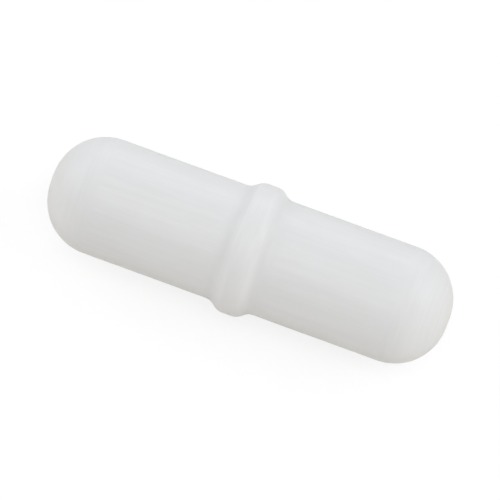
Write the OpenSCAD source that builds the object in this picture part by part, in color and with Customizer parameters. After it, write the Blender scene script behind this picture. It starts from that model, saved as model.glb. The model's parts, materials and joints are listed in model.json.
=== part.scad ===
// Magnetic stir bar with a pivot ring: a cast magnet rod sealed inside one moulded PTFE jacket.
// The bar lies along X with its middle at the origin, and Z points up. Lengths are in millimetres.

/* [Jacket] */
// Length of the bar from tip to tip
bar_length = 28; // [20:0.5:60]
// Diameter of the straight barrel on each side of the ring
barrel_diameter = 8; // [7:0.25:12]
// Radius that rounds each end, a little under the barrel's own so that a small flat stays at the tip
end_radius = 3.6; // [1:0.05:3.95]

/* [Pivot ring] */
// How far the ring stands out from the barrel
ring_height = 0.55; // [0.3:0.05:1.5]
// Width of the ring at half its height
ring_width = 2; // [1.2:0.1:5]
// Width of the flat land along the ring's top
ring_land = 0.6; // [0.2:0.1:1]

/* [Magnet] */
// Thickness of PTFE between the magnet's pocket and the barrel's surface
side_wall = 1.3; // [0.8:0.05:2]
// Thickness of PTFE between the magnet's pocket and the tip of the bar
tip_wall = 2.8; // [1.8:0.1:6]
// Chamfer around each end of the magnet
magnet_chamfer = 0.4; // [0.1:0.05:1]
// Gap left all round between the magnet and its pocket
magnet_clearance = 0.05; // [0.02:0.01:0.2]

/* [Hidden] */
$fn = 96;
barrel_r = barrel_diameter / 2;
half_length = bar_length / 2;

// The end's round leaves at least this much flat at the tip.
least_tip_flat = 0.05;
end_r = min(end_radius, barrel_r - least_tip_flat);
tip_flat_r = barrel_r - end_r;
end_start = half_length - end_r;

ring_r = barrel_r + ring_height;
land_half = ring_land / 2;
flank_w = ring_width - ring_land;
flank_middle = land_half + flank_w / 2;
ring_base = land_half + flank_w;

// Each flank is two equal arcs, which bend over from the land and back into the barrel. They rise by no more than
// the flank's width, and on a higher ring the rest of the flank stands straight between them.
bend_rise = min(ring_height, flank_w);
bend_r = (bend_rise ^ 2 + flank_w ^ 2) / (4 * bend_rise);

pocket_r = barrel_r - side_wall;
pocket_half = half_length - tip_wall;

// Quarter of a disc, with its square corner at the given point and its round side towards +X +Y.
module quarter_disc(corner, r) {
    translate(corner) intersection() {
        circle(r);
        square(2 * r);
    }
}

// Half of the barrel's section: a straight side, the round end and the small flat at the tip.
module barrel_section() {
    square([barrel_r, end_start]);
    square([tip_flat_r, half_length]);
    quarter_disc([tip_flat_r, end_start], end_r);
}

// Half of the ring's section: the flat land, and a flank that bends over and then back into the barrel.
module ring_section() {
    square([ring_r, land_half]);
    square([ring_r - bend_rise / 2, flank_middle]);
    intersection() {
        translate([ring_r - bend_r, land_half]) circle(bend_r);
        square([2 * ring_r, flank_middle]);
    }
    difference() {
        square([barrel_r + bend_rise / 2, ring_base]);
        translate([barrel_r + bend_r, ring_base]) circle(bend_r);
    }
}

// Turns a section drawn against the Y axis into a solid that lies along X.
module turned_along_x() {
    rotate([0, 90, 0]) rotate_extrude() children();
}

// Rod along X with a chamfer around each end, which is the form of the magnet and of its pocket.
module chamfered_rod(r, half, chamfer) {
    turned_along_x() polygon([
        [0, -half], [r - chamfer, -half], [r, chamfer - half],
        [r, half - chamfer], [r - chamfer, half], [0, half]
    ]);
}

module ptfe_jacket() {
    color("whitesmoke") difference() {
        turned_along_x() for (side = [0, 1]) mirror([0, side]) {
            barrel_section();
            ring_section();
        }
        chamfered_rod(pocket_r, pocket_half, magnet_chamfer);
    }
}

module magnet_core() {
    color("dimgray")
        chamfered_rod(pocket_r - magnet_clearance, pocket_half - magnet_clearance, magnet_chamfer);
}

ptfe_jacket();
magnet_core();
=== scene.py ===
# Magnetic stir bar: the moulded jacket is a turned surface worked out here. The magnet keeps its CAD mesh.
import json
from math import atan2, cos, degrees, pi, radians, sin

import bpy
import numpy as np
from mathutils import Matrix, Vector


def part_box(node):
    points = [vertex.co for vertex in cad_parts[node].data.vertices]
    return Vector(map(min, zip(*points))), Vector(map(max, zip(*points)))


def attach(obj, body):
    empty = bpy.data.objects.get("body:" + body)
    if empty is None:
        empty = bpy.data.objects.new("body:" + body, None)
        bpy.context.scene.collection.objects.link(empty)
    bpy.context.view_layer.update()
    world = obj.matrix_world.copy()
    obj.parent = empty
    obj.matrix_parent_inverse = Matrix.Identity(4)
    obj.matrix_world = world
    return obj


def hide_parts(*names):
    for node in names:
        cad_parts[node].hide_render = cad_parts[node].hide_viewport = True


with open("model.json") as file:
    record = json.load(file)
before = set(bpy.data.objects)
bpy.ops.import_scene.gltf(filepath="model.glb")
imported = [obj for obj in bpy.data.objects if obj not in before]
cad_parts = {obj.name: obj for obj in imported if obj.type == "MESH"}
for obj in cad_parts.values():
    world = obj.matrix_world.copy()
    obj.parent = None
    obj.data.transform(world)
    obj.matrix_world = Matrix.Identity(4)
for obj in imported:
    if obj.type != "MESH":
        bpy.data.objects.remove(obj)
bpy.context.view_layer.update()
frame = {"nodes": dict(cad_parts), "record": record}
mm = 0.001

mounts = {mount["name"]: mount for mount in frame["record"]["mounts"]}
jacketLow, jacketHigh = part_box("ptfe_jacket")
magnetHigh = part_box("magnet_core")[1]

# The bar lies along X with its middle at the origin, so its forms are places along X and distances from X.
barrelMount, ringMount = mounts["barrel_right"], mounts["pivot_ring"]
barrelMiddle = barrelMount["pos_m"][0]
barrelHalf = barrelMount["dims"]["length_mm"] * mm / 2
barrelRadius = barrelMount["dims"]["r_mm"] * mm
barrelStart = barrelMiddle - barrelHalf  # where the ring's shoulder has run out
barrelEnd = barrelMiddle + barrelHalf    # where the rounded end begins
ringRadius = jacketHigh[2]
landHalf = ringMount["dims"]["length_mm"] * mm / 2
tipPlace = jacketHigh[0]
magnetRadius, magnetHalf = magnetHigh[2], magnetHigh[0]
print("sizes read: %.1f mm long, barrel %.1f mm, ring %.1f mm"
      % (2 * tipPlace / mm, 2 * barrelRadius / mm, 2 * ringRadius / mm))


# Straight run: start + t * (end - start), t in even steps from 0 up to, but not at, 1.
def straightRun(start, end, count):
    t = np.linspace(0, 1, count, endpoint=False)[:, None]
    return np.array(start) + t * (np.array(end) - np.array(start))


# Round run: centre + radius * (cos a, sin a), a in even steps from one angle up to, but not at, the other.
def roundRun(centre, radius, fromDegrees, toDegrees, count):
    a = np.radians(np.linspace(fromDegrees, toDegrees, count, endpoint=False))
    return np.array(centre) + radius * np.stack([np.cos(a), np.sin(a)], axis=1)


# Whole outline from its half: the half mirrored in x = 0 and reversed, then the half itself.
def bothHalves(half):
    return np.concatenate([half[:0:-1] * (-1, 1), half])


# Run: the length along the outline from its middle point to each of its points, negative on the left.
def runAlong(outline):
    steps = np.hypot(*np.diff(outline, axis=0).T)
    run = np.concatenate([[0], np.cumsum(steps)])
    return run - run[len(run) // 2]


# Soft step: 0 below low, 1 above high, and 3t^2 - 2t^3 between them, with t the share of the way.
def softStep(low, high, value):
    t = np.clip((value - low) / (high - low), 0, 1)
    return t * t * (3 - 2 * t)


# Grid of an outline: its places x and its distances r, each repeated in every column around the bar.
def outlineGrid(outline, columns):
    return [np.repeat(outline[:, [k]], columns, axis=1) for k in (0, 1)]


# Turned surface: the outline point (x, r) at the angle a becomes (x, r cos a, r sin a).
# One point on the axis closes each end with a fan, and inward turns all the faces round.
def turnedSurface(x, r, poles, inward=False):
    rows, columns = x.shape
    angle = np.arange(columns) * 2 * pi / columns
    grid = np.stack([x, r * np.cos(angle), r * np.sin(angle)], axis=2).reshape(-1, 3)
    points = np.concatenate([grid, [(poles[0], 0, 0), (poles[1], 0, 0)]])
    index = np.arange(rows * columns).reshape(rows, columns)
    after = np.roll(index, -1, axis=1)
    quads = np.stack([index[:-1], after[:-1], after[1:], index[1:]], axis=2).reshape(-1, 4)
    low, high = rows * columns, rows * columns + 1
    fans = np.concatenate([
        np.stack([np.full(columns, low), after[0], index[0]], axis=1),
        np.stack([np.full(columns, high), index[-1], after[-1]], axis=1),
    ])
    if inward:
        quads, fans = quads[:, ::-1], fans[:, ::-1]
    return points, quads, fans


# One mesh object from several surfaces, each with its points, quads and fans, and from attributes that give
# each point a number.
def meshPiece(name, surfaces, attributes):
    faces, first = [], 0
    for points, quads, fans in surfaces:
        faces += (quads + first).tolist() + (fans + first).tolist()
        first += len(points)
    mesh = bpy.data.meshes.new(name)
    mesh.from_pydata(np.concatenate([surface[0] for surface in surfaces]).tolist(), [], faces)
    mesh.polygons.foreach_set("use_smooth", np.ones(len(faces), dtype=bool))
    for key, values in attributes.items():
        layer = mesh.attributes.new(key, "FLOAT", "POINT")
        layer.data.foreach_set("value", values.astype(np.float32))
    mesh.update()
    piece = bpy.data.objects.new(name, mesh)
    bpy.context.scene.collection.objects.link(piece)
    return piece


def newMaterial(name):
    material = bpy.data.materials.new(name)
    material.use_nodes = True
    tree = material.node_tree
    tree.nodes.clear()
    return material, tree


def addNode(tree, kind, at, **settings):
    node = tree.nodes.new(kind)
    node.location = at
    for key, value in settings.items():
        setattr(node, key, value)
    return node


# Feeds a node. A socket is given by its number, as in i0, or by its name with _ for a space. What another
# node puts out is linked to it, and anything else is set on it.
def feed(tree, node, **inputs):
    for key, value in inputs.items():
        numbered = key[0] == "i" and key[1:].isdigit()
        socket = node.inputs[int(key[1:]) if numbered else key.replace("_", " ")]
        if isinstance(value, bpy.types.NodeSocket):
            tree.links.new(value, socket)
        else:
            socket.default_value = value
    return node


def mathStep(tree, operation, at, first, second=0.0, third=0.0, clamp=False):
    node = addNode(tree, "ShaderNodeMath", at, operation=operation, use_clamp=clamp)
    return feed(tree, node, i0=first, i1=second, i2=third).outputs[0]


def noisePattern(tree, at, place, scale, detail, roughness):
    node = addNode(tree, "ShaderNodeTexNoise", at)
    return feed(tree, node, Vector=place, Scale=scale, Detail=detail, Roughness=roughness).outputs[0]


def pointMask(tree, at, name):
    return addNode(tree, "ShaderNodeAttribute", at, attribute_name=name).outputs["Fac"]


# The object's own places, turned from metres to millimetres.
def placesInMm(tree, at):
    coords = addNode(tree, "ShaderNodeTexCoord", (at[0] - 200, at[1]))
    scaled = addNode(tree, "ShaderNodeVectorMath", at, operation="SCALE")
    return feed(tree, scaled, Vector=coords.outputs["Object"], Scale=1 / mm).outputs[0]


# A group that takes places in millimetres and some named numbers, and puts out one height.
def newHeightGroup(name, numbers):
    group = bpy.data.node_groups.new(name, "ShaderNodeTree")
    group.interface.new_socket("Place", in_out="INPUT", socket_type="NodeSocketVector")
    for label, value in numbers.items():
        socket = group.interface.new_socket(label, in_out="INPUT", socket_type="NodeSocketFloat")
        socket.default_value = value
    group.interface.new_socket("Height", in_out="OUTPUT", socket_type="NodeSocketFloat")
    entry, out = group.nodes.new("NodeGroupInput"), group.nodes.new("NodeGroupOutput")
    entry.location, out.location = (-900, 0), (300, 0)
    return group, entry.outputs, out


def useGroup(tree, at, group, **inputs):
    return feed(tree, addNode(tree, "ShaderNodeGroup", at, node_tree=group), **inputs).outputs["Height"]


# Turned lines: fine rings around the axis, as a cutting edge or a mould's polish leaves them. A noise is
# stretched so that it changes fast along the run and slowly around, and comes out as a height from -1 to 1.
def makeTurnedLines():
    group, entry, out = newHeightGroup("turnedLines", {"Run": 0.0, "Lines per mm": 8.0, "Wander": 0.12})
    apart = feed(group, addNode(group, "ShaderNodeSeparateXYZ", (-700, -120)), Vector=entry["Place"])
    along = mathStep(group, "MULTIPLY", (-500, 120), entry["Run"], entry["Lines per mm"])
    across = mathStep(group, "MULTIPLY", (-500, -60), apart.outputs["Y"], entry["Wander"])
    upward = mathStep(group, "MULTIPLY", (-500, -240), apart.outputs["Z"], entry["Wander"])
    joined = feed(group, addNode(group, "ShaderNodeCombineXYZ", (-300, 0)), X=along, Y=across, Z=upward)
    noise = noisePattern(group, (-100, 0), joined.outputs[0], scale=1.0, detail=4.0, roughness=0.65)
    feed(group, out, Height=mathStep(group, "MULTIPLY_ADD", (100, 0), noise, 2.0, -1.0))
    return group


# Draw lines: fine streaks along the bar, as a mould leaves them. The same noise is stretched the other way,
# so that it changes slowly along X and fast around, and comes out as a height from -1 to 1.
def makeDrawLines():
    group, entry, out = newHeightGroup("drawLines", {"Lines per mm": 3.0, "Stretch": 0.05})
    apart = feed(group, addNode(group, "ShaderNodeSeparateXYZ", (-700, 0)), Vector=entry["Place"])
    along = mathStep(group, "MULTIPLY", (-500, 120), apart.outputs["X"], entry["Stretch"])
    joined = addNode(group, "ShaderNodeCombineXYZ", (-300, 0))
    feed(group, joined, X=along, Y=apart.outputs["Y"], Z=apart.outputs["Z"])
    noise = noisePattern(group, (-100, 0), joined.outputs[0], entry["Lines per mm"],
                         detail=3.0, roughness=0.6)
    feed(group, out, Height=mathStep(group, "MULTIPLY_ADD", (100, 0), noise, 2.0, -1.0))
    return group


# Fine grain: two sizes of noise, the coarse one three times the fine one, added and centred on 0.
def makeFineGrain():
    group, entry, out = newHeightGroup("fineGrain", {"Grains per mm": 6.0})
    place, perMm = entry["Place"], entry["Grains per mm"]
    fine = noisePattern(group, (-300, 120), place, perMm, detail=2.0, roughness=0.55)
    coarsePerMm = mathStep(group, "DIVIDE", (-500, -140), perMm, 3.0)
    coarse = noisePattern(group, (-300, -140), place, coarsePerMm, detail=1.0, roughness=0.5)
    both = mathStep(group, "ADD", (-100, 0), fine, coarse)
    feed(group, out, Height=mathStep(group, "SUBTRACT", (100, 0), both, 1.0))
    return group


turnedLines = makeTurnedLines()
drawLines = makeDrawLines()
fineGrain = makeFineGrain()
print("shared node groups built")


# Relief: the lines and the grain, each times its depth in mm, through one bump.
def reliefNormal(tree, look, lines, grain):
    relief = mathStep(tree, "MULTIPLY", (-300, -200), lines, look["lineDepth"])
    relief = mathStep(tree, "MULTIPLY_ADD", (-100, -300), grain, look["grainDepth"], relief)
    bump = addNode(tree, "ShaderNodeBump", (500, -300))
    return feed(tree, bump, Strength=1.0, Distance=mm, Height=relief).outputs["Normal"]


# Roughness: it swings evenly about its middle value with a pattern from 0 to 1.
def swingingRoughness(tree, look, pattern):
    lowest = look["roughness"] - look["roughnessSwing"] / 2
    return mathStep(tree, "MULTIPLY_ADD", (-100, 100), pattern, look["roughnessSwing"], lowest)


jacket = {
    "columns": 192,  # points around the bar
    "landRows": 8, "shoulderRows": 16, "barrelRows": 60, "domeRows": 56, "tipRows": 6,
    "unevenness": 0.014 * mm,            # how far the moulded skin sinks at most
    "waveCount": 14, "mostTurns": 3,     # slow waves in it, and how often one may rise around the bar
    "waveLengths": (2.5, 11),            # in mm along the bar
    "seed": 7,
    "stillCore": (0.1 * mm, 1.5 * mm),   # distances from the axis between which the unevenness sets in
    "ringLines": 0.6 * mm,               # how far the ring's lines run out along the barrel
    "domeLines": (-0.3 * mm, 0.4 * mm),  # where the dome's lines set in, from the end of the barrel
    "rubbedFrom": 0.25 * mm,             # height over the barrel from which the ring is rubbed
    "solidEnd": (-0.4 * mm, 1.2 * mm),   # where the wall turns solid, from the end of the magnet
    "ringWallFrom": 0.05 * mm,           # height over the barrel from which the ring's wall counts
    "ringWall": 0.4,                     # what it counts as, where a solid end is 1
    "pocket": {
        "gap": 0.05 * mm,  # between the magnet and its pocket
        "chamfer": 0.4 * mm,
        "columns": 96, "sideRows": 24, "chamferRows": 3, "endRows": 6,
    },
}


# Half of the outline from the ring's middle to the tip: the land, a shoulder of two equal arcs that bend
# over and back, the barrel, the round of the end and the small flat at the tip, one after another. With the
# height h and width w of the shoulder, the arcs have the radius (h^2 + w^2) / 4h and turn through
# 2 atan(h / w).
def jacketHalf(size):
    high, wide = ringRadius - barrelRadius, barrelStart - landHalf
    bend = (high ** 2 + wide ** 2) / (4 * high)
    turn = degrees(2 * atan2(high, wide))
    endRound = tipPlace - barrelEnd
    tipFlat = barrelRadius - endRound
    return np.concatenate([
        straightRun((0, ringRadius), (landHalf, ringRadius), size["landRows"]),
        roundRun((landHalf, ringRadius - bend), bend, 90, 90 - turn, size["shoulderRows"]),
        roundRun((barrelStart, barrelRadius + bend), bend, 270 - turn, 270, size["shoulderRows"]),
        straightRun((barrelStart, barrelRadius), (barrelEnd, barrelRadius), size["barrelRows"]),
        roundRun((barrelEnd, tipFlat), endRound, 90, 0, size["domeRows"]),
        straightRun((tipPlace, tipFlat), (tipPlace, 0), size["tipRows"]),
    ])


# Slow waves: a sum of cos(2 pi x / length + phase) * cos(n a + phase), each times its share of the longest
# length, with n whole so that it closes around the bar. It is scaled to at most 1 either way.
def slowWaves(x, angle, size):
    pick = np.random.default_rng(size["seed"])
    shortest, longest = size["waveLengths"]
    total = 0
    for _ in range(size["waveCount"]):
        length = pick.uniform(shortest, longest) * mm
        turns = pick.integers(0, size["mostTurns"] + 1)
        along = np.cos(2 * pi * x / length + pick.uniform(0, 2 * pi))
        around = np.cos(turns * angle + pick.uniform(0, 2 * pi))
        total = total + length / (longest * mm) * along * around
    return total / np.abs(total).max()


# Skin: the outline turned about X. It sinks by unevenness * (1 - waves) / 2, which fades out at the poles.
def jacketSkin(size, outline):
    x, r = outlineGrid(outline, size["columns"])
    angle = np.arange(size["columns"]) * 2 * pi / size["columns"]
    rise = size["unevenness"] * (slowWaves(x, angle, size) - 1) / 2
    return turnedSurface(x, r + rise * softStep(*size["stillCore"], r), (-tipPlace, tipPlace))


# Pocket: the magnet's own outline, larger by the gap, turned about X with its faces into the pocket.
def jacketPocket(size):
    radius, end = magnetRadius + size["gap"], magnetHalf + size["gap"]
    chamfer = size["chamfer"]
    outline = bothHalves(np.concatenate([
        straightRun((0, radius), (end - chamfer, radius), size["sideRows"]),
        straightRun((end - chamfer, radius), (end, radius - chamfer), size["chamferRows"]),
        straightRun((end, radius - chamfer), (end, 0), size["endRows"]),
    ]))
    return turnedSurface(*outlineGrid(outline, size["columns"]), (-end, end), inward=True)


# Masks for the finish, with a value for each point of the skin and its two poles: the run in mm, and from 0
# to 1 how rubbed the ring is, how far turned lines take the place of draw lines, and how thick the wall is.
# Each of the last three is a soft step, or the larger of two, of the distance r or of the place x.
def finishMasks(size, outline):
    x, r = outlineGrid(outline, size["columns"])
    half = np.abs(x)
    run = runAlong(outline) / mm
    rub = softStep(barrelRadius + size["rubbedFrom"], ringRadius, r)
    ringLines = 1 - softStep(barrelStart, barrelStart + size["ringLines"], half)
    domeLines = softStep(*(barrelEnd + edge for edge in size["domeLines"]), half)
    solidEnd = softStep(*(magnetHalf + edge for edge in size["solidEnd"]), half)
    ringWall = size["ringWall"] * softStep(barrelRadius + size["ringWallFrom"], ringRadius, r)
    return {
        "run": np.append(np.repeat(run, size["columns"]), (-run[-1], run[-1])),
        "rub": np.append(rub, (0, 0)),
        "worked": np.append(np.maximum(ringLines, domeLines), (1, 1)),
        "thick": np.append(np.maximum(solidEnd, ringWall), (1, 1)),
    }


# Jacket: the skin, and the pocket inside it as a second closed surface, on which every mask is 0.
def makeJacket(size):
    outline = bothHalves(jacketHalf(size))
    skin, pocket = jacketSkin(size, outline), jacketPocket(size["pocket"])
    quiet = np.zeros(len(pocket[0]))
    masks = {key: np.append(values, quiet) for key, values in finishMasks(size, outline).items()}
    return meshPiece("ptfeJacket", [skin, pocket], masks)


ptfeJacket = makeJacket(jacket)
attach(ptfeJacket, "root")
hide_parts("ptfe_jacket")
print("jacket built: %d points" % len(ptfeJacket.data.vertices))

# Moulded PTFE: a waxy white, faintly mottled. The barrel keeps long draw lines, the rounded ends and the
# ring carry turned lines, and the ring's land is rubbed a little smoother. Each line is a trace of relief,
# of tone and of gloss. Over the magnet the wall is thin, and the dark rod dims it by a trace.
ptfe = {
    "coolWhite": (0.858, 0.863, 0.867, 1), "warmWhite": (0.846, 0.839, 0.826, 1),
    "mottlesPerMm": 0.55,
    "thinWallDims": 0.028,  # share by which the wall over the magnet is darker
    "roughness": 0.39, "roughnessSwing": 0.08, "rubbedDrop": 0.05,
    "drawLinesPerMm": 2.6,
    "drawStretch": 0.05,   # how fast they change along the bar, as a share of how fast across it
    "turnedLinesPerMm": 3.4,
    "turnedWander": 0.15,  # how fast they change around the bar, per mm
    "lineDepth": 0.005,  # in mm
    "lineTone": 0.041, "lineGloss": 0.03,  # how much a line changes the tone and the roughness
    "grainsPerMm": 5.0, "grainDepth": 0.0011,  # the depth in mm
    "scatterWeight": 0.8, "scatterScale": 0.45 * mm, "scatterRadius": (1.0, 1.0, 1.0), "ior": 1.38,
}


def makePtfe(look):
    material, tree = newMaterial("mouldedPtfe")
    out = addNode(tree, "ShaderNodeOutputMaterial", (1400, 0))
    shader = addNode(tree, "ShaderNodeBsdfPrincipled", (1100, 0))
    place = placesInMm(tree, (-1300, 0))
    run = pointMask(tree, (-1300, -300), "run")
    rub = pointMask(tree, (-1300, -480), "rub")
    worked = pointMask(tree, (-1300, -660), "worked")
    thick = pointMask(tree, (-1300, 200), "thick")

    # lines: turned ones where the surface was worked, draw lines along the rest
    turned = useGroup(tree, (-900, -100), turnedLines, Place=place, Run=run,
                      Lines_per_mm=look["turnedLinesPerMm"], Wander=look["turnedWander"])
    drawn = useGroup(tree, (-900, -600), drawLines, Place=place,
                     Lines_per_mm=look["drawLinesPerMm"], Stretch=look["drawStretch"])
    mixed = addNode(tree, "ShaderNodeMix", (-600, -300), data_type="FLOAT")
    lines = feed(tree, mixed, i0=worked, i2=drawn, i3=turned).outputs[0]
    grain = useGroup(tree, (-900, -320), fineGrain, Place=place, Grains_per_mm=look["grainsPerMm"])

    # colour: two whites mixed by the mottle, dimmed over the magnet and along each line
    mottle = noisePattern(tree, (-900, 400), place, look["mottlesPerMm"], detail=4.0, roughness=0.6)
    tint = addNode(tree, "ShaderNodeMix", (-500, 400), data_type="RGBA")
    feed(tree, tint, i0=mottle, i6=look["coolWhite"], i7=look["warmWhite"])
    dims = look["thinWallDims"]
    tone = mathStep(tree, "MULTIPLY_ADD", (-500, 160), thick, dims, 1 - dims)
    tone = mathStep(tree, "MULTIPLY_ADD", (-350, 160), lines, look["lineTone"], tone)
    white = addNode(tree, "ShaderNodeVectorMath", (0, 400), operation="SCALE")
    feed(tree, white, Vector=tint.outputs[2], Scale=tone)

    # gloss: the roughness swings with the mottle and the lines, and falls where the ring is rubbed
    rough = swingingRoughness(tree, look, mottle)
    rough = mathStep(tree, "MULTIPLY_ADD", (100, 100), lines, look["lineGloss"], rough)
    rough = mathStep(tree, "MULTIPLY_ADD", (300, 100), rub, -look["rubbedDrop"], rough, clamp=True)

    feed(tree, shader, Base_Color=white.outputs[0], Roughness=rough,
         Normal=reliefNormal(tree, look, lines, grain), IOR=look["ior"],
         Subsurface_Weight=look["scatterWeight"], Subsurface_Radius=look["scatterRadius"],
         Subsurface_Scale=look["scatterScale"])
    tree.links.new(shader.outputs[0], out.inputs[0])
    return material


ptfeJacket.data.materials.append(makePtfe(ptfe))
print("jacket finished in moulded PTFE")


magnet = {
    "lightMetal": (0.235, 0.23, 0.222, 1), "darkMetal": (0.15, 0.146, 0.142, 1),
    "patchesPerMm": 0.8,
    "roughness": 0.38, "roughnessSwing": 0.22,
    "linesPerMm": 11.0, "wander": 0.4, "lineDepth": 0.0022,  # each depth in mm
    "grainsPerMm": 4.0, "grainDepth": 0.004,
}


# Ground magnet alloy: grey metal in light and dark patches, with grinding lines around it and a cast grain.
def makeAlloy(look):
    material, tree = newMaterial("groundAlloy")
    out = addNode(tree, "ShaderNodeOutputMaterial", (1100, 0))
    shader = addNode(tree, "ShaderNodeBsdfPrincipled", (800, 0))
    place = placesInMm(tree, (-1100, 0))
    apart = feed(tree, addNode(tree, "ShaderNodeSeparateXYZ", (-900, -300)), Vector=place)
    lines = useGroup(tree, (-700, -100), turnedLines, Place=place, Run=apart.outputs["X"],
                     Lines_per_mm=look["linesPerMm"], Wander=look["wander"])
    grain = useGroup(tree, (-700, -320), fineGrain, Place=place, Grains_per_mm=look["grainsPerMm"])
    patches = noisePattern(tree, (-700, 300), place, look["patchesPerMm"], detail=4.0, roughness=0.6)
    tint = addNode(tree, "ShaderNodeMix", (-300, 300), data_type="RGBA")
    feed(tree, tint, i0=patches, i6=look["lightMetal"], i7=look["darkMetal"])
    feed(tree, shader, Base_Color=tint.outputs[2], Roughness=swingingRoughness(tree, look, patches),
         Normal=reliefNormal(tree, look, lines, grain), Metallic=1.0)
    tree.links.new(shader.outputs[0], out.inputs[0])
    return material


groundAlloy = makeAlloy(magnet)
for spot in frame["nodes"]["magnet_core"].material_slots:
    spot.material = groundAlloy
print("magnet finished in ground alloy")


studio = {
    "floorSize": 1.7,
    "floorTone": (0.84, 0.81, 0.76, 1),  # of the light that it throws back
    "floorSeenDiffuse": (0.3, 0.3, 0.3, 1), "floorSeenGlow": 0.745,  # what the camera sees of it
    "worldColour": (0.97, 0.982, 1.0, 1), "worldStrength": 0.42,
    "softboxDistance": 0.95,
    # degrees round from behind the bar towards its right, and above the floor; metres; watts
    "softboxes": {
        "frontSoftbox": {"round": 180, "above": 65, "size": (0.7, 0.7), "watts": 2.8, "colour": (1, 1, 1)},
        "rightSoftbox": {"round": 85, "above": 38, "size": (0.7, 0.7), "watts": 2.6, "colour": (1, 1, 1)},
        "leftSoftbox": {"round": 290, "above": 25, "size": (0.7, 0.7), "watts": 2.0, "colour": (1, 1, 1)},
        "backStrip": {"round": 0, "above": 24, "size": (0.9, 0.25), "watts": 1.55,
                      "colour": (0.78, 0.87, 1)},
    },
}


# Two shaders in one: the first lights other things, and the camera sees the second.
def joinByCamera(tree, thrown, seen, out):
    path = addNode(tree, "ShaderNodeLightPath", (120, 360))
    choice = addNode(tree, "ShaderNodeMixShader", (360, 0))
    feed(tree, choice, i0=path.outputs["Is Camera Ray"], i1=thrown.outputs[0], i2=seen.outputs[0])
    tree.links.new(choice.outputs[0], out.inputs[0])


# Floor: one flat square under the ring. The camera sees it near white, and it throws back less light.
def makeFloor(look):
    half, low = look["floorSize"] / 2, jacketLow[2]
    corners = [(-half, -half, low), (half, -half, low), (half, half, low), (-half, half, low)]
    mesh = bpy.data.meshes.new("floor")
    mesh.from_pydata(corners, [], [(0, 1, 2, 3)])
    floor = bpy.data.objects.new("floor", mesh)
    bpy.context.scene.collection.objects.link(floor)
    material, tree = newMaterial("paleFloor")
    out = addNode(tree, "ShaderNodeOutputMaterial", (600, 0))
    thrown = feed(tree, addNode(tree, "ShaderNodeBsdfDiffuse", (-100, -200)), Color=look["floorTone"])
    lit = feed(tree, addNode(tree, "ShaderNodeBsdfDiffuse", (-100, 0)), Color=look["floorSeenDiffuse"])
    glow = feed(tree, addNode(tree, "ShaderNodeEmission", (-100, 140)), Strength=look["floorSeenGlow"])
    seen = addNode(tree, "ShaderNodeAddShader", (120, 80))
    feed(tree, seen, i0=lit.outputs[0], i1=glow.outputs[0])
    joinByCamera(tree, thrown, seen, out)
    mesh.materials.append(material)


# World: a soft pale light from all sides, which the camera sees as plain white.
def makeWorld(look):
    world = bpy.data.worlds.new("paleStudio")
    bpy.context.scene.world = world
    world.use_nodes = True
    tree = world.node_tree
    tree.nodes.clear()
    out = addNode(tree, "ShaderNodeOutputWorld", (600, 0))
    thrown = addNode(tree, "ShaderNodeBackground", (100, -100))
    feed(tree, thrown, Color=look["worldColour"], Strength=look["worldStrength"])
    seen = feed(tree, addNode(tree, "ShaderNodeBackground", (100, 100)), Color=(1, 1, 1, 1), Strength=1.0)
    joinByCamera(tree, thrown, seen, out)


# A softbox that faces the bar, at distance * (cos u sin w, cos u cos w, sin u). The angle u is the one
# above the floor, and w is the one round less the camera's azimuth, so that it starts straight behind
# the bar as the camera sees it.
def makeSoftbox(name, look, distance, azimuth):
    light = bpy.data.lights.new(name, "AREA")
    light.shape, light.energy, light.color = "RECTANGLE", look["watts"], look["colour"]
    light.size, light.size_y = look["size"]
    box = bpy.data.objects.new(name, light)
    bpy.context.scene.collection.objects.link(box)
    w, u = radians(look["round"] - azimuth), radians(look["above"])
    box.location = Vector((cos(u) * sin(w), cos(u) * cos(w), sin(u))) * distance
    box.rotation_euler = (-box.location).to_track_quat("-Z", "Y").to_euler()


cameraLook = {
    "elevation": 63.5,  # degrees above the floor
    "azimuth": 10.3,    # degrees round from the bar's side towards its right end
    "roll": 10.8,       # degrees that the camera is turned about its own line of sight
    "distance": 0.461,
    "lens": 500.0, "sensor": 36.0, "clip": (0.01, 20.0),
}


# Camera: it stands at the distance along (cos e sin a, -cos e cos a, sin e) and looks at the bar's middle.
# Its sideways axis is (cos a, sin a, 0), turned by the roll towards its upward axis.
def makeCamera(look):
    e, a, roll = radians(look["elevation"]), radians(look["azimuth"]), radians(look["roll"])
    away = Vector((cos(e) * sin(a), -cos(e) * cos(a), sin(e)))
    level = Vector((cos(a), sin(a), 0))
    upright = away.cross(level)
    right = level * cos(roll) + upright * sin(roll)
    up = upright * cos(roll) - level * sin(roll)
    data = bpy.data.cameras.new("camera")
    data.lens, data.sensor_width = look["lens"], look["sensor"]
    data.clip_start, data.clip_end = look["clip"]
    camera = bpy.data.objects.new("camera", data)
    bpy.context.scene.collection.objects.link(camera)
    turn = Matrix((right, up, away)).transposed()
    camera.matrix_world = Matrix.Translation(away * look["distance"]) @ turn.to_4x4()
    bpy.context.scene.camera = camera


makeFloor(studio)
makeWorld(studio)
for name, look in studio["softboxes"].items():
    makeSoftbox(name, look, studio["softboxDistance"], cameraLook["azimuth"])
makeCamera(cameraLook)
bpy.context.scene.view_settings.view_transform = "Standard"
bpy.context.scene.view_settings.look = "None"
print("floor, light and camera placed")
